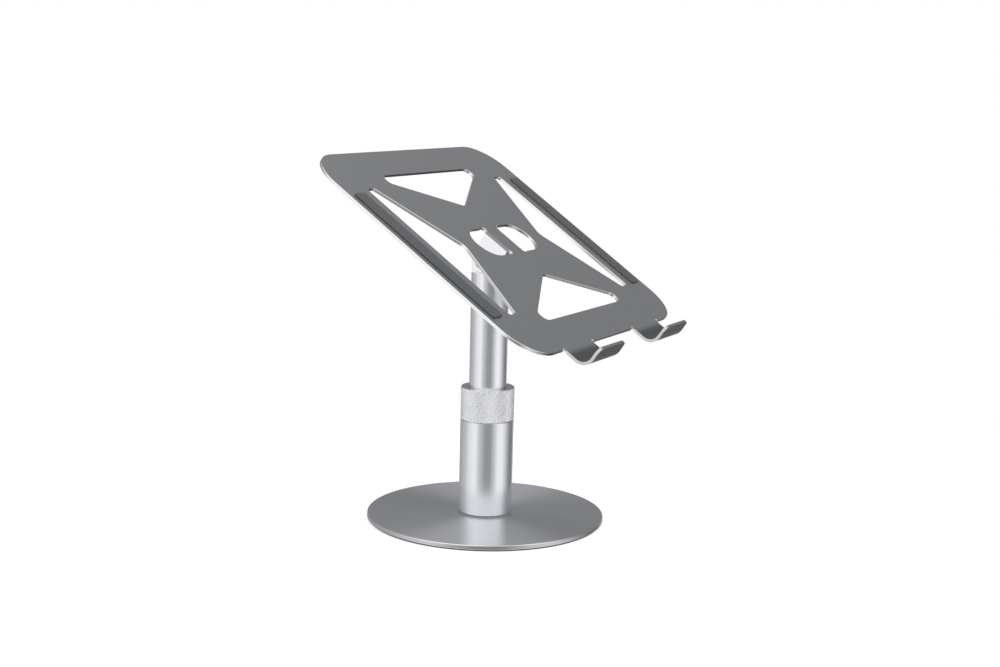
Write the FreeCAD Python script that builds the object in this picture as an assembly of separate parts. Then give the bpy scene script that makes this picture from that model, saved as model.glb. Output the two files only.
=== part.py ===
import math
import os

import FreeCAD
import Part

V = FreeCAD.Vector

# Base, in millimetres. The origin is the centre of the pad's underside.
base_diameter = 202.0
base_thickness = 3.6
base_top_chamfer = 0.5
base_low_chamfer = 0.4
pad_diameter = 199.0
pad_thickness = 1.4

# Swivel
pivot_flange_diameter = 32.0
pivot_flange_thickness = 1.8
pivot_recess_depth = 1.8
pivot_shaft_diameter = 14.0
pivot_thread_diameter = 10.0
pivot_thread_length = 9.0
swivel_clearance = 0.05
pivot_screw_circle = 22.6
pivot_screw_diameter = 2.6
pivot_screw_head = 5.0
pivot_screw_length = 2.8
collar_diameter = 46.0
collar_thickness = 1.5
plug_length = 12.0
pivot_washer_diameter = 22.0
pivot_washer_thickness = 1.5
spring_washer_diameter = 19.0
spring_washer_thickness = 1.0
pivot_nut_width = 16.0
pivot_nut_height = 5.2

# Column and clamp
lower_tube_diameter = 45.5
lower_tube_bore = 39.5
lower_tube_length = 80.3
tube_edge_chamfer = 0.5
neck_grip = 8.0
neck_thread_diameter = 38.0
neck_thread_length = 17.2
neck_bore = 36.4
collet_low_reach = 6.8
collet_cylinder = 24.5
collet_taper = 5.5
collet_tip_diameter = 33.7
collet_slit_width = 1.2
collet_slit_depth = 18.0

# Lock ring
ring_diameter = 45.8
ring_height = 27.5
ring_gap = 0.2
ring_fit_height = 18.0
ring_cone_height = 7.2
ring_mouth_diameter = 32.6
ring_edge_chamfer = 0.5

# Mast
upper_tube_diameter = 31.8
upper_tube_bore = 27.8
upper_tube_length = 143.6
mast_overlap = 18.8
slide_clearance = 0.05
bush_height = 8.0
head_spigot_length = 16.0
head_shoulder = 0.6
pin_above_tube = 10.8
tongue_thickness = 16.4
tongue_round_radius = 15.5

# Tilt hinge
tray_tilt = 34.1
pin_below_tray = 21.6
bolt_diameter = 8.0
bolt_clearance = 0.05
bolt_head_diameter = 14.0
bolt_head_height = 4.4
bolt_socket_width = 5.0
bolt_socket_depth = 2.6
bolt_end_stickout = 1.2
hinge_nut_width = 13.0
hinge_nut_height = 6.5
hinge_washer_diameter = 16.0
hinge_washer_thickness = 1.2
friction_washer_diameter = 18.6

# Tray, measured in its own plane: x across, y towards the rear edge
tray_width = 277.0
tray_depth = 248.0
sheet_thickness = 2.4
tray_corner_radius = 34.0
sheet_edge_chamfer = 0.25
triangle_base = 93.0
triangle_apex = 45.6
triangle_slope = 1.835
triangle_radius = 6.2
slot_outer = 108.0
slot_inner_middle = 63.6
slot_half_length = 78.5
slot_slope = 0.438
slot_tip_radius = 3.6
slot_middle_radius = 12.0
hole_inner = 10.4
hole_centre = 27.2
hole_radius = 17.0
relief_radius = 2.8
relief_across = 12.3
relief_along = 15.0

# Ears bent down from the tray
ear_inner_face = 9.1
ear_bend_radius = 0.5
ear_half_width = 12.7
ear_straight = 13.0
ear_end_radius = 9.8

# Hooks at the tray's front edge
hook_inner_edge = 39.8
hook_width = 47.6
hook_floor = 11.9
hook_bend_radius = 8.8
lip_top = 19.0
lip_corner_radius = 6.0
hook_relief_radius = 1.5
hook_relief_offset = 1.2

# Grip strips
strip_edge_margin = 5.5
strip_width = 14.0
strip_half_length = 76.0
strip_forward = 2.5
strip_thickness = 1.5
strip_corner_radius = 2.5


def cylinder(diameter, height, z=0.0):
    return Part.makeCylinder(diameter / 2.0, height, V(0, 0, z))


def tube(outer, bore, height, z=0.0):
    return cylinder(outer, height, z).cut(cylinder(bore, height + 2.0, z - 1.0))


def revolve(points):
    wire = Part.makePolygon([V(r, 0, z) for r, z in points + points[:1]])
    return Part.Face(wire).revolve(V(0, 0, 0), V(0, 0, 1), 360)


def hexagon(width, height, z=0.0):
    radius = width / math.sqrt(3.0)
    points = []
    for i in range(7):
        a = math.radians(60.0 * i)
        points.append(V(radius * math.cos(a), radius * math.sin(a), z))
    return Part.Face(Part.makePolygon(points)).extrude(V(0, 0, height))


def along_x(shape):
    shape.rotate(V(0, 0, 0), V(0, 1, 0), 90)
    return shape


def rounded_wire(points, radii):
    """Closed wire in the XY plane through the points, each corner rounded."""
    count = len(points)
    starts = []
    for i in range(count):
        p0 = V(points[i - 1][0], points[i - 1][1], 0)
        p1 = V(points[i][0], points[i][1], 0)
        p2 = V(points[(i + 1) % count][0], points[(i + 1) % count][1], 0)
        a = (p0 - p1).normalize()
        b = (p2 - p1).normalize()
        radius = radii[i]
        if radius <= 0:
            starts.append((p1, None, p1))
            continue
        half = math.acos(max(-1.0, min(1.0, a.dot(b)))) / 2.0
        reach = radius / math.tan(half)
        middle_line = (a + b).normalize()
        centre = p1 + middle_line * (radius / math.sin(half))
        middle = centre - middle_line * radius
        starts.append((p1 + a * reach, middle, p1 + b * reach))
    edges = []
    for i in range(count):
        first, middle, last = starts[i]
        if middle is not None:
            edges.append(Part.Arc(first, middle, last).toShape())
        after = starts[(i + 1) % count][0]
        if (after - last).Length > 1e-6:
            edges.append(Part.makeLine(last, after))
    return Part.Wire(edges)


def slab(points, radii, low, high):
    face = Part.Face(rounded_wire(points, radii))
    solid = face.extrude(V(0, 0, high - low))
    solid.translate(V(0, 0, low))
    return solid


def mirrored(shape):
    return shape.mirror(V(0, 0, 0), V(1, 0, 0))


def joined(shapes):
    result = shapes[0].multiFuse(shapes[1:])
    return result.removeSplitter()


def chamfered(shape, size, keep):
    edges = [e for e in shape.Edges if keep(e)]
    return shape.makeChamfer(size, edges)


def at_height(z):
    def test(edge):
        box = edge.BoundBox
        return abs(box.ZMin - z) < 1e-4 and abs(box.ZMax - z) < 1e-4
    return test


nodes = {}

# Heights of the stack
base_low = pad_thickness
base_top = base_low + base_thickness
flange_top = base_low + pivot_recess_depth
column_low = base_top + collar_thickness
plug_top = column_low + plug_length
tube_top = column_low + lower_tube_length
ring_low = tube_top + ring_gap
ring_top = ring_low + ring_height
upper_tube_bottom = tube_top - mast_overlap
mast_top = upper_tube_bottom + upper_tube_length
pin_height = mast_top + pin_above_tube

# Base
pad = cylinder(pad_diameter, pad_thickness)
nodes["base_pad"] = chamfered(pad, 0.4, lambda e: at_height(0.0)(e) and e.Length > 500)

r = base_diameter / 2.0
disc = revolve([
    (0, base_low),
    (r - base_low_chamfer, base_low),
    (r, base_low + base_low_chamfer),
    (r, base_top - base_top_chamfer),
    (r - base_top_chamfer, base_top),
    (0, base_top),
])
disc = disc.cut(cylinder(pivot_flange_diameter + 0.4, pivot_recess_depth, base_low))
disc = disc.cut(cylinder(pivot_shaft_diameter + 0.2, base_thickness + 2.0, base_low - 1.0))
flange_low = flange_top - pivot_flange_thickness
shaft_top = plug_top - 0.3
shaft = joined([
    cylinder(pivot_flange_diameter, pivot_flange_thickness, flange_low),
    cylinder(pivot_shaft_diameter, shaft_top - flange_top, flange_top),
    cylinder(pivot_thread_diameter, pivot_thread_length, shaft_top),
])
for i in range(3):
    a = math.radians(90.0 + 120.0 * i)
    place = V(pivot_screw_circle / 2.0 * math.cos(a), pivot_screw_circle / 2.0 * math.sin(a), 0)
    head = pivot_screw_head / 2.0
    stem = pivot_screw_diameter / 2.0
    cone = revolve([
        (0, flange_low),
        (head, flange_low),
        (stem, flange_low + head - stem),
        (stem, flange_low + pivot_screw_length),
        (0, flange_low + pivot_screw_length),
    ])
    cone.translate(place)
    shaft = shaft.cut(cone)
    disc = disc.cut(cone)
    drive = hexagon(2.0, 0.8, flange_low)
    drive.translate(place)
    nodes["pivot_screw_%d" % (i + 1)] = cone.cut(drive)
nodes["base_disc"] = disc
nodes["pivot_shaft"] = shaft

nodes["foot_collar"] = tube(collar_diameter, pivot_shaft_diameter + 0.2, collar_thickness, base_top)
nodes["pivot_washer"] = tube(
    pivot_washer_diameter, pivot_thread_diameter + 0.3, pivot_washer_thickness, plug_top)
spring_low = plug_top + pivot_washer_thickness
nodes["pivot_spring_washer"] = tube(
    spring_washer_diameter, pivot_thread_diameter + 0.3, spring_washer_thickness, spring_low)
nut_low = spring_low + spring_washer_thickness
nodes["pivot_nut"] = hexagon(pivot_nut_width, pivot_nut_height, nut_low).cut(
    cylinder(pivot_thread_diameter, pivot_nut_height + 2.0, nut_low - 1.0))

# Column
lower = tube(lower_tube_diameter, lower_tube_bore, lower_tube_length, column_low)
nodes["lower_tube"] = chamfered(
    lower, tube_edge_chamfer,
    lambda e: (at_height(column_low)(e) or at_height(tube_top)(e)) and e.Length > 135)
nodes["bottom_plug"] = tube(
    lower_tube_bore, pivot_shaft_diameter + 2.0 * swivel_clearance, plug_length, column_low)
neck_low = tube_top - neck_grip
neck = joined([
    cylinder(lower_tube_bore, neck_grip, neck_low),
    cylinder(neck_thread_diameter, neck_thread_length, tube_top),
])
nodes["clamp_neck"] = neck.cut(cylinder(neck_bore, 40.0, neck_low - 1.0))

slide_bore = upper_tube_diameter / 2.0 + slide_clearance
collet_low = tube_top - collet_low_reach
taper_low = collet_low + collet_cylinder
collet_top = taper_low + collet_taper
collet = revolve([
    (slide_bore, collet_low),
    (neck_bore / 2.0, collet_low),
    (neck_bore / 2.0, taper_low),
    (collet_tip_diameter / 2.0, collet_top),
    (slide_bore, collet_top),
])
for i in range(2):
    slit = Part.makeBox(60.0, collet_slit_width, collet_slit_depth + 1.0,
                        V(-30.0, -collet_slit_width / 2.0, collet_top - collet_slit_depth))
    slit.rotate(V(0, 0, 0), V(0, 0, 1), 45.0 + 90.0 * i)
    collet = collet.cut(slit)
nodes["clamp_collet"] = collet

# Lock ring
r = ring_diameter / 2.0
c = ring_edge_chamfer
fit = neck_thread_diameter / 2.0 + swivel_clearance
cone_low = ring_low + ring_fit_height
cone_top = cone_low + ring_cone_height
nodes["lock_ring"] = revolve([
    (fit, ring_low),
    (r - c, ring_low),
    (r, ring_low + c),
    (r, ring_top - c),
    (r - c, ring_top),
    (ring_mouth_diameter / 2.0, ring_top),
    (ring_mouth_diameter / 2.0, cone_top),
    (fit, cone_low),
])

# Mast
upper = tube(upper_tube_diameter, upper_tube_bore, upper_tube_length, upper_tube_bottom)
nodes["upper_tube"] = upper
nodes["guide_bush"] = tube(
    lower_tube_bore - 2.0 * slide_clearance, upper_tube_diameter, bush_height, upper_tube_bottom)
body_top = pin_height + tongue_round_radius
head_body = cylinder(upper_tube_diameter, body_top - mast_top, mast_top)
round_top = along_x(cylinder(2.0 * tongue_round_radius, 60.0, -30.0))
round_top.translate(V(0, 0, pin_height))
lower_box = Part.makeBox(60.0, 60.0, pin_height - mast_top, V(-30.0, -30.0, mast_top))
head_body = head_body.common(round_top.fuse(lower_box))
shoulder = mast_top + head_shoulder
for side in (-1.0, 1.0):
    x = tongue_thickness / 2.0 if side > 0 else -30.0
    width = 30.0 - tongue_thickness / 2.0
    head_body = head_body.cut(Part.makeBox(width, 60.0, 60.0, V(x, -30.0, shoulder)))
spigot = cylinder(upper_tube_bore, head_spigot_length, mast_top - head_spigot_length)
head = joined([head_body, spigot])
bore = along_x(cylinder(bolt_diameter + 2.0 * bolt_clearance, 60.0, -30.0))
bore.translate(V(0, 0, pin_height))
nodes["hinge_head"] = head.cut(bore)

# Tray plate in its own plane, top face at z = 0
t = sheet_thickness
w = tray_width / 2.0
d = tray_depth / 2.0
plate = slab([(-w, -d), (w, -d), (w, d), (-w, d)], [tray_corner_radius] * 4, -t, 0.0)

reach = triangle_slope * (triangle_base - triangle_apex)
triangle = [(0.0, triangle_apex), (reach, triangle_base), (-reach, triangle_base)]
rear_triangle = slab(triangle, [triangle_radius] * 3, -t - 1.0, 1.0)
front_triangle = rear_triangle.mirror(V(0, 0, 0), V(0, 1, 0))
tip = slot_inner_middle + slot_slope * slot_half_length
slot = slab(
    [(slot_outer, -slot_half_length), (slot_outer, slot_half_length), (tip, slot_half_length),
     (slot_inner_middle, 0.0), (tip, -slot_half_length)],
    [slot_tip_radius, slot_tip_radius, slot_tip_radius, slot_middle_radius, slot_tip_radius],
    -t - 1.0, 1.0)
hr = hole_radius
square = slab(
    [(hole_inner, -hr), (hole_centre, -hr), (hole_centre, hr), (hole_inner, hr)],
    [0, 0, 0, 0], -t - 1.0, 1.0)
reliefs = []
for y in (-relief_along, relief_along):
    reliefs.append(Part.makeCylinder(relief_radius, t + 2.0, V(relief_across, y, -t - 1.0)))
round_end = Part.makeCylinder(hr, t + 2.0, V(hole_centre, 0, -t - 1.0))
bend_start = ear_inner_face - ear_bend_radius
inner_cut = Part.makeBox(
    hole_inner - bend_start + 1.0, 2.0 * ear_half_width, t + 2.0,
    V(bend_start, -ear_half_width, -t - 1.0))
hole = joined([square, round_end, inner_cut] + reliefs)
for cutter in (rear_triangle, front_triangle, slot, mirrored(slot), hole, mirrored(hole)):
    plate = plate.cut(cutter)
for x in (hook_inner_edge - hook_relief_offset, hook_inner_edge + hook_width + hook_relief_offset):
    root = Part.makeCylinder(hook_relief_radius, t + 2.0, V(x, -d + 0.3, -t - 1.0))
    plate = plate.cut(root).cut(mirrored(root))


def sheet_section(points_a, points_b):
    """Closed section between two chains of lines and arcs."""
    edges = []
    for chain in (points_a, points_b):
        for item in chain:
            if len(item) == 2:
                edges.append(Part.makeLine(item[0], item[1]))
            else:
                edges.append(Part.Arc(item[0], item[1], item[2]).toShape())
    return Part.Face(Part.Wire(Part.__sortEdges__(edges)))


def ear_section():
    s = math.sin(math.radians(45.0))
    ri = ear_bend_radius
    ro = ri + t
    x = bend_start
    zc = -t - ri
    end = -pin_below_tray - ear_end_radius - 1.0
    top = [
        (V(x, 0, 0), V(x + ro * s, 0, zc + ro * s), V(x + ro, 0, zc)),
        (V(x + ro, 0, zc), V(x + ro, 0, end)),
        (V(x + ro, 0, end), V(x + ri, 0, end)),
    ]
    low = [
        (V(x + ri, 0, end), V(x + ri, 0, zc)),
        (V(x + ri, 0, zc), V(x + ri * s, 0, zc + ri * s), V(x, 0, -t)),
        (V(x, 0, -t), V(x, 0, 0)),
    ]
    return sheet_section(top, low)


ear = ear_section().extrude(V(0, 2.0 * ear_half_width, 0))
ear.translate(V(0, -ear_half_width, 0))
hw = ear_half_width
pin = -pin_below_tray
trim_low = Part.makeBox(30.0, 2.0 * hw, ear_straight, V(0, -hw, -ear_straight))
taper_points = [
    V(0, -hw, -ear_straight), V(0, hw, -ear_straight),
    V(0, ear_end_radius, pin), V(0, -ear_end_radius, pin), V(0, -hw, -ear_straight)]
trim_taper = Part.Face(Part.makePolygon(taper_points)).extrude(V(30.0, 0, 0))
trim_round = along_x(cylinder(2.0 * ear_end_radius, 30.0))
trim_round.translate(V(0, 0, pin))
ear = ear.common(joined([trim_low, trim_taper, trim_round]))
ear_hole = along_x(cylinder(bolt_diameter, 60.0))
ear_hole.translate(V(0, 0, pin))
ear = ear.cut(ear_hole)


def hook_section(low, high, start, top):
    """J section in the YZ plane between two offsets from the sheet's top face."""
    s = math.sin(math.radians(45.0))
    yc = -d - hook_floor
    zc = hook_bend_radius
    ri = hook_bend_radius - high
    ro = hook_bend_radius - low
    outer = [
        (V(0, start, low), V(0, yc, low)),
        (V(0, yc, low), V(0, yc - ro * s, zc - ro * s), V(0, yc - ro, zc)),
        (V(0, yc - ro, zc), V(0, yc - ro, top)),
        (V(0, yc - ro, top), V(0, yc - ri, top)),
    ]
    inner = [
        (V(0, yc - ri, top), V(0, yc - ri, zc)),
        (V(0, yc - ri, zc), V(0, yc - ri * s, zc - ri * s), V(0, yc, high)),
        (V(0, yc, high), V(0, start, high)),
        (V(0, start, high), V(0, start, low)),
    ]
    return sheet_section(outer, inner)


def hook_outline(x, width, top, radius):
    """Front view of a hook, with round corners at the lip's top."""
    shape = slab([(x, -40.0), (x + width, -40.0), (x + width, top), (x, top)],
                 [0, 0, radius, radius], 0.0, 80.0)
    shape.rotate(V(0, 0, 0), V(1, 0, 0), 90)
    shape.translate(V(0, -d + 30.0, 0))
    return shape


hook = hook_section(-t, 0.0, -d + 2.0, lip_top).extrude(V(hook_width, 0, 0))
hook.translate(V(hook_inner_edge, 0, 0))
hook = hook.common(hook_outline(hook_inner_edge, hook_width, lip_top, lip_corner_radius))
plate = joined([plate, ear, mirrored(ear), hook, mirrored(hook)])


def strip():
    x = w - strip_edge_margin
    front = -strip_half_length - strip_forward
    rear = strip_half_length - strip_forward
    solid = slab(
        [(x - strip_width, front), (x, front), (x, rear), (x - strip_width, rear)],
        [strip_corner_radius] * 4, 0.0, strip_thickness)
    return chamfered(solid, 0.4, at_height(strip_thickness))


def rim_edge(edge):
    """True on the sheet's top rims, away from the bends."""
    middle = edge.valueAt((edge.FirstParameter + edge.LastParameter) / 2.0)
    near_ear = abs(middle.x) < ear_inner_face + 8.0 and abs(middle.y) < ear_half_width + 0.1
    near_hook = middle.y < -d + 3.0 and abs(middle.x) > hook_inner_edge - 0.1
    near_hook = near_hook and abs(middle.x) < hook_inner_edge + hook_width + 0.1
    return at_height(0.0)(edge) and not near_ear and not near_hook


plate = chamfered(plate, sheet_edge_chamfer, rim_edge)

# Hinge hardware in the tray's frame
ear_outer = ear_inner_face + t
nodes_tray = {"tray_plate": plate}
nodes_tray["strip_right"] = strip()
nodes_tray["strip_left"] = mirrored(strip())
gap = ear_inner_face - tongue_thickness / 2.0


def hinge_piece(shape):
    shape = along_x(shape)
    shape.translate(V(0, 0, pin))
    return shape


washer = tube(hinge_washer_diameter, bolt_diameter, hinge_washer_thickness, ear_outer)
nodes_tray["hinge_washer_right"] = hinge_piece(washer)
washer = tube(hinge_washer_diameter, bolt_diameter, hinge_washer_thickness,
              -ear_outer - hinge_washer_thickness)
nodes_tray["hinge_washer_left"] = hinge_piece(washer)
friction = tube(friction_washer_diameter, bolt_diameter, gap, tongue_thickness / 2.0)
nodes_tray["friction_washer_right"] = hinge_piece(friction)
friction = tube(friction_washer_diameter, bolt_diameter, gap, -ear_inner_face)
nodes_tray["friction_washer_left"] = hinge_piece(friction)
seat = ear_outer + hinge_washer_thickness
nut = hexagon(hinge_nut_width, hinge_nut_height, seat).cut(cylinder(bolt_diameter, 40.0, 0.0))
nodes_tray["hinge_nut"] = hinge_piece(nut)
shank_length = 2.0 * seat + hinge_nut_height + bolt_end_stickout
bolt_head = revolve([
    (0, -seat - bolt_head_height),
    (bolt_head_diameter / 2.0 - 2.2, -seat - bolt_head_height),
    (bolt_head_diameter / 2.0 - 0.6, -seat - bolt_head_height + 1.6),
    (bolt_head_diameter / 2.0, -seat - bolt_head_height + 3.4),
    (bolt_head_diameter / 2.0, -seat),
    (0, -seat),
])
bolt = joined([bolt_head, cylinder(bolt_diameter, shank_length, -seat)])
bolt = bolt.cut(hexagon(bolt_socket_width, bolt_socket_depth, -seat - bolt_head_height))
nodes_tray["hinge_bolt"] = hinge_piece(bolt)

for name, shape in nodes_tray.items():
    shape.translate(V(0, 0, pin_below_tray))
    shape.rotate(V(0, 0, 0), V(1, 0, 0), tray_tilt)
    shape.translate(V(0, 0, pin_height))
    nodes[name] = shape

os.makedirs("parts", exist_ok=True)
for name, shape in nodes.items():
    if not shape.isValid():
        print("not valid:", name)
    if len(shape.Solids) != 1:
        print("solids in", name, len(shape.Solids))
    shape.exportStep("parts/%s.step" % name)
print("nodes", len(nodes), "pin height", pin_height, "ring top", ring_top)
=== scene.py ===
import math

import bpy
from mathutils import Matrix, Vector


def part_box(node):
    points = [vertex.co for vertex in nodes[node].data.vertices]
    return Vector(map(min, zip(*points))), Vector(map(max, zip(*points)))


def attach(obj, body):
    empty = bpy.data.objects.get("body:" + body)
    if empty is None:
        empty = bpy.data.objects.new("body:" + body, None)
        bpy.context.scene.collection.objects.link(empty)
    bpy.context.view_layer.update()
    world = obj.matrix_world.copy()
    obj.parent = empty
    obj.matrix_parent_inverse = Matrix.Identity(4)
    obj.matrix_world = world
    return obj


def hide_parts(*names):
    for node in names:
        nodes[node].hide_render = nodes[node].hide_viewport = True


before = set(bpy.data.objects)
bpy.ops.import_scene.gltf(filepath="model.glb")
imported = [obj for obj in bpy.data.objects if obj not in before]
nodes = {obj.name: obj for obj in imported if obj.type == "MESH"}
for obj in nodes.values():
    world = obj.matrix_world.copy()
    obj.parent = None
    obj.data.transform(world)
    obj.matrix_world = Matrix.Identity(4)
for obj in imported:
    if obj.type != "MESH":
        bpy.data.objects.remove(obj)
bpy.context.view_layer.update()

X_AXIS = (1.0, 0.0, 0.0)
Z_AXIS = (0.0, 0.0, 1.0)

# Tray at rest: its tilt about X, its upward normal and its direction to the rear edge
TRAY_TILT = math.radians(34.1)
TRAY_NORMAL = (0.0, -math.sin(TRAY_TILT), math.cos(TRAY_TILT))
TRAY_REARWARD = (0.0, math.cos(TRAY_TILT), math.sin(TRAY_TILT))
PIN_HEIGHT = 0.2224
PIN_BELOW_TRAY = 0.0216

# Places on the tray's sheet, measured along it from the pin and up from its top face
PLATE_FRONT = -0.1242
HOOK_BEND_LOW = 0.0035
HOOK_BEND_TOP = 0.0088
HOOK_SHADE_DEEPEST = -0.1325
HOOK_EDGE_FADE = 0.004
EAR_REACH = 0.0118
EAR_HALF_WIDTH = 0.0129
EAR_BEND_LOW = -0.0020

# Painted shade: tones that the sheet's colour is multiplied by in the hooks and the ears' bends
HOOK_INNER_SHADE = 0.42
HOOK_OUTER_SHADE = 0.52
HOOK_EDGE_SHADE = 0.66
EAR_BEND_SHADE = 0.5

# Limits on how far a face's normal points a given way. Below the first the face looks
# elsewhere, above the second it is square on, and the last two tell a hook's lip and the
# inner side of its curl
FACES_ELSEWHERE = 0.3
FACES_SQUARE = 0.97
FACES_LIP = 0.9
FACES_INWARD = 0.1

# Ranges of a face's normal over which one finish passes into the next, or into painted shade on
# forward-facing cut edges and on the base's wall
FLAT_RANGE = (0.90, 0.995)
FORWARD_SHADE_RANGE = (-0.94, -0.55)
BEVEL_RANGE = (0.3, 0.5)
END_FACE_RANGE = (0.8, 0.95)

# How densely a turned surface's faint lines run along X, Y and Z
TURNED_LINES = (40.0, 40.0, 2600.0)

# Camera, matched to the photograph
CAMERA_EYE = (-1.14434, -0.63307, 0.37624)
CAMERA_FORWARD = (0.866664, 0.471477, -0.163106)
CAMERA_RIGHT = (0.481159, -0.876317, 0.023541)
CAMERA_SENSOR = 36.0
CAMERA_LENS = 56.56
CAMERA_CLIP_END = 20.0

# Level directions from the object: towards the camera, and to its right
TO_CAMERA = (-0.8797, -0.4756, 0.0)
TO_RIGHT = (0.4756, -0.8797, 0.0)

# Lock ring, from the CAD ring's size. Its grooves get painted shade over a share of their depth,
# and its plain body starts a little inside their bottom
RING_LOW, RING_HIGH = (corner[2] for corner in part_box("lock_ring"))
RING_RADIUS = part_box("lock_ring")[1][0]
RING_EDGE = 0.0005
MOUTH_RADIUS = 0.0163
BORE_RADIUS = 0.01905
BORE_HEIGHT = 0.018
CONE_HEIGHT = 0.0072
KNURLS_AROUND = 78
KNURL_ROWS = 15
KNURL_DEPTH = 0.0004
GROOVE_SHADE_SHARE = 0.7
BODY_RANGE = (-0.0004, -0.0002)
SHARP_ANGLE = 30.0

# Floor: half its width, and where its shadow fades into the white ground
FLOOR_HALF = 40.0
FADE_START = 0.10
FADE_END = 0.75
FADE_LEAST = 0.55

# Surroundings, as pairs of an angle from the camera's side, in degrees, and a grey
LOW_PANELS = [
    (-180, 0.26), (-140, 0.40), (-105, 0.52), (-76, 0.82), (-50, 0.95), (-26, 0.54),
    (-4, 0.31), (16, 0.30), (34, 0.58), (50, 0.92), (70, 0.95), (86, 0.72),
    (100, 0.44), (116, 0.24), (140, 0.18), (154, 0.55), (166, 0.50), (180, 0.26),
]
HIGH_PANELS = [
    (-180, 0.23), (-140, 0.27), (-105, 0.45), (-76, 0.88), (-50, 1.00), (-24, 0.98),
    (0, 0.98), (34, 0.98), (52, 0.98), (72, 0.85), (94, 0.40),
    (118, 0.18), (180, 0.22),
]

# Zones of the surroundings, by the sine of a direction's rise: the high panels, a white
# ceiling, a shaded ring of floor, and a white floor around the foot
HIGH_ZONE = (0.0, 0.10)
CEILING_ZONE = (0.70, 0.92)
SHADED_ZONE = (-0.42, -0.30)
SHADED_SHARE = 0.50
FOOT_ZONE = (-0.84, -0.68)

# Area lights: place, width and power, all aimed at one point
LIGHT_TARGET = (0.0, 0.0, 0.1)
LIGHT_WIDTH = 2.2
LIGHTS = {
    "key": ((-0.5, -0.6, 1.8), 42.0),
    "fill": ((1.2, 0.4, 1.6), 26.0),
}


# Shader helpers

def colour(red, green, blue):
    return (red, green, blue, 1.0)


BLACK = colour(0.0, 0.0, 0.0)
WHITE = colour(1.0, 1.0, 1.0)


def new_material(name):
    material = bpy.data.materials.new(name)
    material.use_nodes = True
    tree = material.node_tree
    tree.nodes.clear()
    output = tree.nodes.new("ShaderNodeOutputMaterial")
    shader = tree.nodes.new("ShaderNodeBsdfPrincipled")
    tree.links.new(shader.outputs["BSDF"], output.inputs["Surface"])
    return material, tree, shader


def set_value(node, **values):
    """Set inputs by name, with an underscore for each space."""
    for key, value in values.items():
        node.inputs[key.replace("_", " ")].default_value = value


def join(tree, value, socket):
    """Set a socket to a plain value, or link another socket to it."""
    if isinstance(value, (int, float, tuple)):
        socket.default_value = value
    else:
        tree.links.new(value, socket)


def math_node(tree, operation, *values):
    node = tree.nodes.new("ShaderNodeMath")
    node.operation = operation
    for value, socket in zip(values, node.inputs):
        join(tree, value, socket)
    return node.outputs[0]


def absolute(tree, value):
    return math_node(tree, "ABSOLUTE", value)


def below(tree, value, limit):
    return math_node(tree, "LESS_THAN", value, limit)


def above(tree, value, limit):
    return math_node(tree, "GREATER_THAN", value, limit)


def inverse(tree, value):
    return math_node(tree, "SUBTRACT", 1.0, value)


def product(tree, first, *others):
    for value in others:
        first = math_node(tree, "MULTIPLY", first, value)
    return first


def greatest(tree, first, *others):
    for value in others:
        first = math_node(tree, "MAXIMUM", first, value)
    return first


def vector_node(tree, operation, vector, other=None):
    node = tree.nodes.new("ShaderNodeVectorMath")
    node.operation = operation
    tree.links.new(vector, node.inputs[0])
    if other is not None:
        node.inputs[1].default_value = other
    return node.outputs


def dot_with(tree, vector, direction):
    return vector_node(tree, "DOT_PRODUCT", vector, direction)["Value"]


def map_range(tree, value, low, high, to_low=0.0, to_high=1.0, smooth=True):
    node = tree.nodes.new("ShaderNodeMapRange")
    node.interpolation_type = "SMOOTHSTEP" if smooth else "LINEAR"
    tree.links.new(value, node.inputs["Value"])
    set_value(node, From_Min=low, From_Max=high, To_Min=to_low, To_Max=to_high)
    return node.outputs["Result"]


def blend(tree, share, at_zero, at_one):
    """A plain number that goes from one value to another with a share."""
    return map_range(tree, share, 0.0, 1.0, at_zero, at_one, smooth=False)


def mix_colour(tree, factor, first, second):
    node = tree.nodes.new("ShaderNodeMix")
    node.data_type = "RGBA"
    tree.links.new(factor, node.inputs[0])
    join(tree, first, node.inputs[6])
    join(tree, second, node.inputs[7])
    return node.outputs[2]


def object_coordinates(tree):
    return tree.nodes.new("ShaderNodeTexCoord").outputs["Object"]


def object_normal(tree):
    return tree.nodes.new("ShaderNodeTexCoord").outputs["Normal"]


def noise(tree, vector, scale, detail=2.0):
    node = tree.nodes.new("ShaderNodeTexNoise")
    set_value(node, Scale=scale, Detail=detail)
    tree.links.new(vector, node.inputs["Vector"])
    return node.outputs["Fac"]


def bump(tree, shader, height, strength, distance):
    node = tree.nodes.new("ShaderNodeBump")
    set_value(node, Strength=strength, Distance=distance)
    tree.links.new(height, node.inputs["Height"])
    tree.links.new(node.outputs["Normal"], shader.inputs["Normal"])


# Materials

def flat_faces(tree, flat_normal):
    """1 on faces square to the given direction."""
    facing = absolute(tree, dot_with(tree, object_normal(tree), flat_normal))
    return map_range(tree, facing, *FLAT_RANGE)


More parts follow.
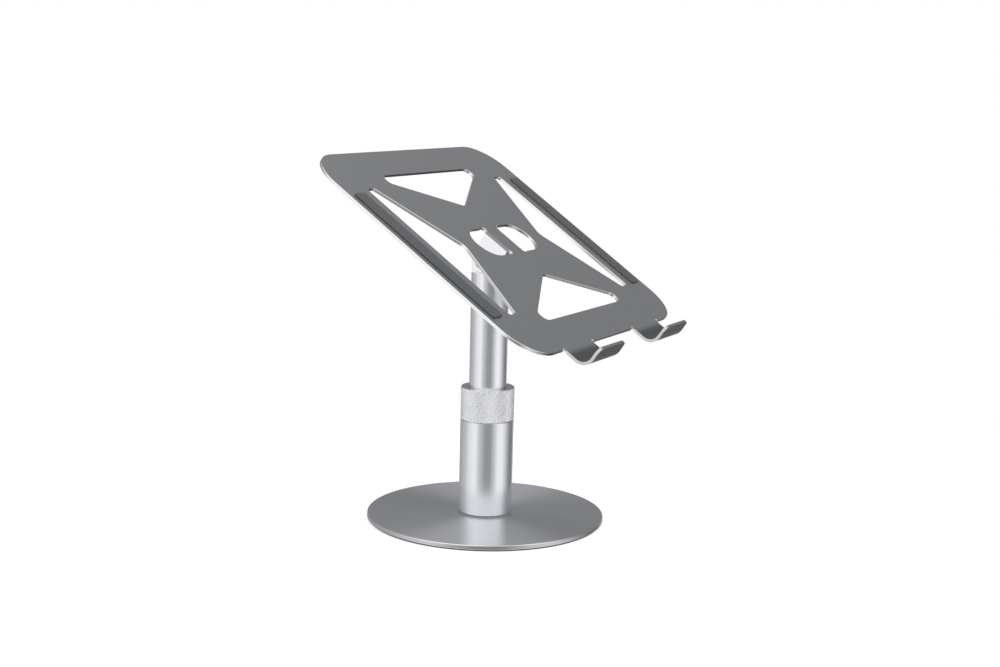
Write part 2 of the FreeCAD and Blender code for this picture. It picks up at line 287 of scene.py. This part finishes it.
def sheet_faces(tree):
    """1 on the tray sheet's two faces and bends, 0 on its cut edges and its ears' faces.

    With it come two tones of painted shade, each 1 on plain parts. One falls in the hooks'
    curls, on their outer faces and in the ears' bends, the other on the hooks' cut edges.
    """
    place = object_coordinates(tree)
    across = dot_with(tree, place, X_AXIS)
    along = math_node(tree, "SUBTRACT", dot_with(tree, place, TRAY_REARWARD),
                      PIN_HEIGHT * math.sin(TRAY_TILT))
    raised = math_node(tree, "SUBTRACT", dot_with(tree, place, TRAY_NORMAL),
                       PIN_HEIGHT * math.cos(TRAY_TILT) + PIN_BELOW_TRAY)

    normal = object_normal(tree)
    sideways = absolute(tree, dot_with(tree, normal, X_AXIS))
    rearward = dot_with(tree, normal, TRAY_REARWARD)
    lengthways = absolute(tree, rearward)
    upward = dot_with(tree, normal, TRAY_NORMAL)

    # Hooks: the curl and the lip, apart from the side edges
    curl_or_lip = greatest(tree, below(tree, raised, HOOK_BEND_TOP),
                           above(tree, lengthways, FACES_LIP))
    hook = product(tree, below(tree, along, PLATE_FRONT),
                   below(tree, sideways, FACES_ELSEWHERE), curl_or_lip)
    inner = above(tree, math_node(tree, "ADD", upward, rearward), FACES_INWARD)
    # Painted shade: inside each curl, darkest at the front and fading up the lip; on the hooks'
    # outer faces and cut edges
    inner_shade = greatest(
        tree, map_range(tree, along, HOOK_SHADE_DEEPEST, PLATE_FRONT, HOOK_INNER_SHADE, 1.0),
        map_range(tree, raised, HOOK_BEND_LOW, HOOK_BEND_TOP))
    outer_shade = map_range(tree, along, HOOK_SHADE_DEEPEST, PLATE_FRONT, HOOK_OUTER_SHADE, 1.0)
    painted_shade = greatest(tree, product(tree, inner_shade, inner),
                    product(tree, outer_shade, inverse(tree, inner)))
    edge_shade = map_range(tree, along, PLATE_FRONT - HOOK_EDGE_FADE, PLATE_FRONT,
                          HOOK_EDGE_SHADE, 1.0)

    # Ears: bends count as sheet, with painted shade; faces count as cut edges, a painted
    # highlight
    ear = product(tree, below(tree, absolute(tree, across), EAR_REACH),
                  below(tree, absolute(tree, along), EAR_HALF_WIDTH),
                  below(tree, lengthways, FACES_ELSEWHERE),
                  above(tree, raised, EAR_BEND_LOW))
    bend = product(tree, ear, inverse(tree, above(tree, upward, FACES_SQUARE)))
    painted_shade = product(tree, painted_shade, inverse(tree, product(tree, bend, 1.0 - EAR_BEND_SHADE)))
    ear = product(tree, ear, inverse(tree, above(tree, sideways, FACES_SQUARE)))

    sheet = greatest(tree, hook, ear, flat_faces(tree, TRAY_NORMAL))
    return sheet, painted_shade, edge_shade


def blasted_metal(name, face, edge, shaded_forward_edge, roughness, edge_roughness):
    """Bead blasted sheet with brighter, smoother cut edges and painted shade on hooks, ear bends
    and forward edges.
    """
    material, tree, shader = new_material(name)
    sheet, painted_shade, edge_shade = sheet_faces(tree)
    # Painted shade on the hooks, the ears' bends, forward-facing cut edges and the hooks' cut
    # edges
    face = mix_colour(tree, painted_shade, BLACK, face)
    rearward = dot_with(tree, object_normal(tree), TRAY_REARWARD)
    forward_shade = map_range(tree, rearward, *FORWARD_SHADE_RANGE, 1.0, 0.0)
    edge = mix_colour(tree, forward_shade, edge, shaded_forward_edge)
    edge = mix_colour(tree, edge_shade, BLACK, edge)
    tree.links.new(mix_colour(tree, sheet, edge, face), shader.inputs["Base Color"])
    tree.links.new(blend(tree, sheet, edge_roughness, roughness), shader.inputs["Roughness"])
    set_value(shader, Metallic=1.0)
    grain = noise(tree, object_coordinates(tree), scale=1900.0, detail=1.0)
    bump(tree, shader, grain, strength=0.05, distance=0.00015)
    return material


def faced_metal(name, face, bevel, shaded_wall, roughness, edge_roughness, stretch):
    """A turned disc: its fine rings stretch reflections outward from the centre; its wall has
    painted shade.
    """
    material, tree, shader = new_material(name)
    flat = flat_faces(tree, Z_AXIS)
    # Painted shade: the side wall is darker than the bright bevel above it
    upward = map_range(tree, dot_with(tree, object_normal(tree), Z_AXIS), *BEVEL_RANGE)
    edge = mix_colour(tree, upward, shaded_wall, bevel)
    tree.links.new(mix_colour(tree, flat, edge, face), shader.inputs["Base Color"])
    tree.links.new(blend(tree, flat, edge_roughness, roughness), shader.inputs["Roughness"])
    tangent = tree.nodes.new("ShaderNodeTangent")
    tangent.direction_type = "RADIAL"
    tangent.axis = "Z"
    tree.links.new(tangent.outputs["Tangent"], shader.inputs["Tangent"])
    tree.links.new(blend(tree, flat, 0.0, stretch), shader.inputs["Anisotropic"])
    set_value(shader, Metallic=1.0, Anisotropic_Rotation=0.25)
    return material


def turned_metal(name, base, roughness):
    """Satin metal with faint lines around the Z axis."""
    material, tree, shader = new_material(name)
    lines = vector_node(tree, "MULTIPLY", object_coordinates(tree), TURNED_LINES)
    grain = noise(tree, lines["Vector"], scale=1.0)
    set_value(shader, Base_Color=base, Metallic=1.0, Roughness=roughness)
    bump(tree, shader, grain, strength=0.06, distance=0.0001)
    return material


def knurled_metal(name, crest, groove_shade, end_face, roughness, knurl_metallic):
    """Bright metal with painted shade towards the bottom of the knurl's grooves, and plain end
    faces.
    """
    material, tree, shader = new_material(name)
    level = vector_node(tree, "MULTIPLY", object_coordinates(tree), (1.0, 1.0, 0.0))
    radius = vector_node(tree, "LENGTH", level["Vector"])["Value"]
    # Painted shade: the colour darkens towards the bottom of the grooves
    low = RING_RADIUS - KNURL_DEPTH
    height = map_range(tree, radius, low, low + GROOVE_SHADE_SHARE * KNURL_DEPTH)
    body = map_range(tree, radius, *(low + depth for depth in BODY_RANGE), 1.0, 0.0)
    knurl = mix_colour(tree, greatest(tree, height, body), groove_shade, crest)
    flat = map_range(tree, dot_with(tree, object_normal(tree), Z_AXIS), *END_FACE_RANGE)
    tree.links.new(mix_colour(tree, flat, knurl, end_face), shader.inputs["Base Color"])
    tree.links.new(blend(tree, flat, knurl_metallic, 1.0), shader.inputs["Metallic"])
    set_value(shader, Roughness=roughness)
    return material


def plain_metal(name, base, roughness, spread=0.04):
    """Metal whose roughness varies a little."""
    material, tree, shader = new_material(name)
    grain = noise(tree, object_coordinates(tree), scale=900.0)
    rough = map_range(tree, grain, 0.2, 0.8, roughness - spread, roughness + spread)
    tree.links.new(rough, shader.inputs["Roughness"])
    set_value(shader, Base_Color=base, Metallic=1.0)
    return material


def speckled(name, base, roughness, speckle):
    """Rubber or plastic with a fine grain."""
    material, tree, shader = new_material(name)
    grain = noise(tree, object_coordinates(tree), scale=1500.0)
    dark, light = (colour(*(channel * (1.0 + change) for channel in base[:3]))
                   for change in (-speckle, speckle))
    tree.links.new(mix_colour(tree, grain, dark, light), shader.inputs["Base Color"])
    set_value(shader, Roughness=roughness)
    bump(tree, shader, grain, strength=0.25, distance=0.0002)
    return material


# The groove colour is painted shade
ring_metal = knurled_metal(
    "ring_metal", crest=colour(0.97, 0.97, 0.97), groove_shade=colour(0.66, 0.66, 0.67),
    end_face=colour(0.80, 0.80, 0.81), roughness=0.24, knurl_metallic=0.66)
# The forward edge colour is painted shade
tray_metal = blasted_metal(
    "tray_metal", face=colour(0.622, 0.632, 0.652), edge=colour(0.97, 0.97, 0.97),
    shaded_forward_edge=colour(0.30, 0.30, 0.305), roughness=0.42, edge_roughness=0.22)
# The wall colour is painted shade
base_metal = faced_metal(
    "base_metal", face=colour(0.87, 0.88, 0.91), bevel=WHITE, shaded_wall=colour(0.70, 0.70, 0.71),
    roughness=0.36, edge_roughness=0.26, stretch=0.82)
tube_metal = turned_metal("tube_metal", colour(0.90, 0.91, 0.93), 0.20)
head_metal = turned_metal("head_metal", colour(1.0, 0.99, 0.97), 0.30)
inner_metal = plain_metal("inner_metal", colour(0.80, 0.80, 0.81), 0.30)
hardware_steel = plain_metal("hardware_steel", colour(0.92, 0.92, 0.92), 0.30)
strip_rubber = speckled("strip_rubber", colour(0.046, 0.047, 0.050), 0.7, 0.25)
pad_rubber = speckled("pad_rubber", colour(0.020, 0.021, 0.021), 0.7, 0.25)
collar_plastic = speckled("collar_plastic", colour(0.22, 0.225, 0.23), 0.4, 0.05)
slide_plastic = speckled("slide_plastic", colour(0.03, 0.03, 0.03), 0.45, 0.1)

# The pieces that aren't named here are steel hardware
looks = {
    "tray_plate": tray_metal,
    "base_disc": base_metal,
    "lower_tube": tube_metal,
    "upper_tube": tube_metal,
    "lock_ring": ring_metal,
    "hinge_head": head_metal,
    "clamp_neck": inner_metal,
    "bottom_plug": inner_metal,
    "base_pad": pad_rubber,
    "strip_left": strip_rubber,
    "strip_right": strip_rubber,
    "foot_collar": collar_plastic,
    "guide_bush": slide_plastic,
    "clamp_collet": slide_plastic,
    "friction_washer_left": slide_plastic,
    "friction_washer_right": slide_plastic,
}
for name, node in nodes.items():
    look = looks.get(name, hardware_steel)
    if not node.material_slots:
        node.data.materials.append(look)
    for material_slot in node.material_slots:
        material_slot.material = look


def add_object(name, data):
    added = bpy.data.objects.new(name, data)
    bpy.context.scene.collection.objects.link(added)
    return added


# The lock ring with its diamond knurl, in place of the plain ring

def build_ring():
    steps = KNURLS_AROUND * 2
    rows = KNURL_ROWS * 2
    low_band = RING_LOW + RING_EDGE
    high_band = RING_HIGH - RING_EDGE
    profile = [(BORE_RADIUS, RING_LOW), (RING_RADIUS - RING_EDGE, RING_LOW)]
    first_knurl = len(profile)
    for row in range(rows + 1):
        profile.append((RING_RADIUS, low_band + (high_band - low_band) * row / rows))
    last_knurl = len(profile) - 1
    profile += [
        (RING_RADIUS - RING_EDGE, RING_HIGH),
        (MOUTH_RADIUS, RING_HIGH),
        (MOUTH_RADIUS, RING_LOW + BORE_HEIGHT + CONE_HEIGHT),
        (BORE_RADIUS, RING_LOW + BORE_HEIGHT),
    ]

    def is_valley(row, step):
        return (step + row - first_knurl) % 2 == 1

    vertices = []
    for row, (radius, height) in enumerate(profile):
        knurled = first_knurl <= row <= last_knurl
        for step in range(steps):
            angle = 2.0 * math.pi * step / steps
            r = radius - KNURL_DEPTH if knurled and is_valley(row, step) else radius
            vertices.append((r * math.cos(angle), r * math.sin(angle), height))

    faces = []
    smooth = []
    for row in range(len(profile)):
        after = (row + 1) % len(profile)
        knurled = first_knurl <= row < last_knurl
        for step in range(steps):
            turn = (step + 1) % steps
            a = row * steps + step
            b = row * steps + turn
            c = after * steps + turn
            d = after * steps + step
            if not knurled:
                faces.append((a, b, c, d))
                smooth.append(True)
                continue
            if is_valley(row, step):
                faces += [(a, b, c), (a, c, d)]
            else:
                faces += [(a, b, d), (b, c, d)]
            smooth += [False, False]

    mesh = bpy.data.meshes.new("lock_ring_knurled")
    mesh.from_pydata(vertices, [], faces)
    mesh.polygons.foreach_set("use_smooth", smooth)
    mesh.materials.append(ring_metal)
    mesh.update()
    ring = add_object("lock_ring_knurled", mesh)
    edge_split = ring.modifiers.new("edges", "EDGE_SPLIT")
    edge_split.split_angle = math.radians(SHARP_ANGLE)
    return ring


ring = build_ring()
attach(ring, "ring")
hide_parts("lock_ring")


# Floor: it keeps the object's shadow and is plain white farther out

def floor_white():
    material, tree, shader = new_material("floor_white")
    set_value(shader, Base_Color=colour(0.95, 0.95, 0.95), Roughness=1.0, Specular_IOR_Level=0.0)
    away = vector_node(tree, "LENGTH", object_coordinates(tree))["Value"]
    plain_white = tree.nodes.new("ShaderNodeEmission")
    set_value(plain_white, Color=WHITE, Strength=1.0)
    share = map_range(tree, away, FADE_START, FADE_END, FADE_LEAST, 1.0)
    seen = tree.nodes.new("ShaderNodeLightPath").outputs["Is Camera Ray"]
    mix = tree.nodes.new("ShaderNodeMixShader")
    tree.links.new(product(tree, share, seen), mix.inputs[0])
    tree.links.new(shader.outputs["BSDF"], mix.inputs[1])
    tree.links.new(plain_white.outputs["Emission"], mix.inputs[2])
    output = tree.nodes["Material Output"]
    tree.links.new(mix.outputs["Shader"], output.inputs["Surface"])
    return material


def build_floor():
    mesh = bpy.data.meshes.new("floor")
    corners = [(x * FLOOR_HALF, y * FLOOR_HALF, 0.0)
               for x, y in ((-1, -1), (1, -1), (1, 1), (-1, 1))]
    mesh.from_pydata(corners, [], [(0, 1, 2, 3)])
    mesh.materials.append(floor_white())
    floor = add_object("floor", mesh)
    floor.visible_glossy = False
    return floor


floor = build_floor()


# Studio surroundings: a white ground for the camera, bright and dark panels for reflections

def ramp(tree, factor, stops):
    node = tree.nodes.new("ShaderNodeValToRGB")
    node.color_ramp.interpolation = "EASE"
    elements = node.color_ramp.elements
    while len(elements) < len(stops):
        elements.new(0.5)
    for element, (angle, grey) in zip(elements, stops):
        element.position = (angle + 180.0) / 360.0
        element.color = colour(grey, grey * 1.005, grey * 1.02)
    tree.links.new(factor, node.inputs["Fac"])
    return node.outputs["Color"]


def studio_panels(tree):
    """The colour that a direction shows to reflections."""
    direction = tree.nodes.new("ShaderNodeTexCoord").outputs["Generated"]
    side = dot_with(tree, direction, TO_RIGHT)
    front = dot_with(tree, direction, TO_CAMERA)
    rise = dot_with(tree, direction, Z_AXIS)
    turn = math_node(tree, "ARCTAN2", side, front)
    place = map_range(tree, turn, -math.pi, math.pi, smooth=False)

    panels = mix_colour(tree, map_range(tree, rise, *HIGH_ZONE),
                        ramp(tree, place, LOW_PANELS), ramp(tree, place, HIGH_PANELS))
    panels = mix_colour(tree, map_range(tree, rise, *CEILING_ZONE), panels, WHITE)
    shaded = map_range(tree, rise, *SHADED_ZONE, SHADED_SHARE, 0.0)
    panels = mix_colour(tree, shaded, panels, BLACK)
    foot = map_range(tree, rise, *FOOT_ZONE, 1.0, 0.0)
    return mix_colour(tree, foot, panels, WHITE)


def build_world():
    world = bpy.data.worlds.new("studio")
    bpy.context.scene.world = world
    world.use_nodes = True
    tree = world.node_tree
    tree.nodes.clear()
    output = tree.nodes.new("ShaderNodeOutputWorld")
    panel_light = tree.nodes.new("ShaderNodeBackground")
    panel_light.inputs["Strength"].default_value = 1.0
    tree.links.new(studio_panels(tree), panel_light.inputs["Color"])
    ground = tree.nodes.new("ShaderNodeBackground")
    set_value(ground, Color=WHITE, Strength=1.0)
    seen = tree.nodes.new("ShaderNodeLightPath").outputs["Is Camera Ray"]
    mix = tree.nodes.new("ShaderNodeMixShader")
    tree.links.new(seen, mix.inputs[0])
    tree.links.new(panel_light.outputs[0], mix.inputs[1])
    tree.links.new(ground.outputs[0], mix.inputs[2])
    tree.links.new(mix.outputs[0], output.inputs["Surface"])


def build_lights():
    for name, (location, power) in LIGHTS.items():
        data = bpy.data.lights.new(name, "AREA")
        data.shape = "DISK"
        data.size = LIGHT_WIDTH
        data.energy = power
        light = add_object(name, data)
        light.location = location
        aim = Vector(LIGHT_TARGET) - Vector(location)
        light.rotation_euler = aim.to_track_quat("-Z", "Y").to_euler()
        light.visible_glossy = False


def build_camera():
    data = bpy.data.cameras.new("camera")
    data.sensor_width = CAMERA_SENSOR
    data.lens = CAMERA_LENS
    data.clip_end = CAMERA_CLIP_END
    camera = add_object("camera", data)
    back = -Vector(CAMERA_FORWARD).normalized()
    right = Vector(CAMERA_RIGHT).normalized()
    up = back.cross(right)
    rotation = Matrix((right, up, back)).transposed()
    camera.matrix_world = Matrix.Translation(Vector(CAMERA_EYE)) @ rotation.to_4x4()
    bpy.context.scene.camera = camera


build_world()
build_lights()
build_camera()

view = bpy.context.scene.view_settings
view.view_transform = "Standard"
view.look = "None"
view.exposure = 0.0
view.gamma = 1.0
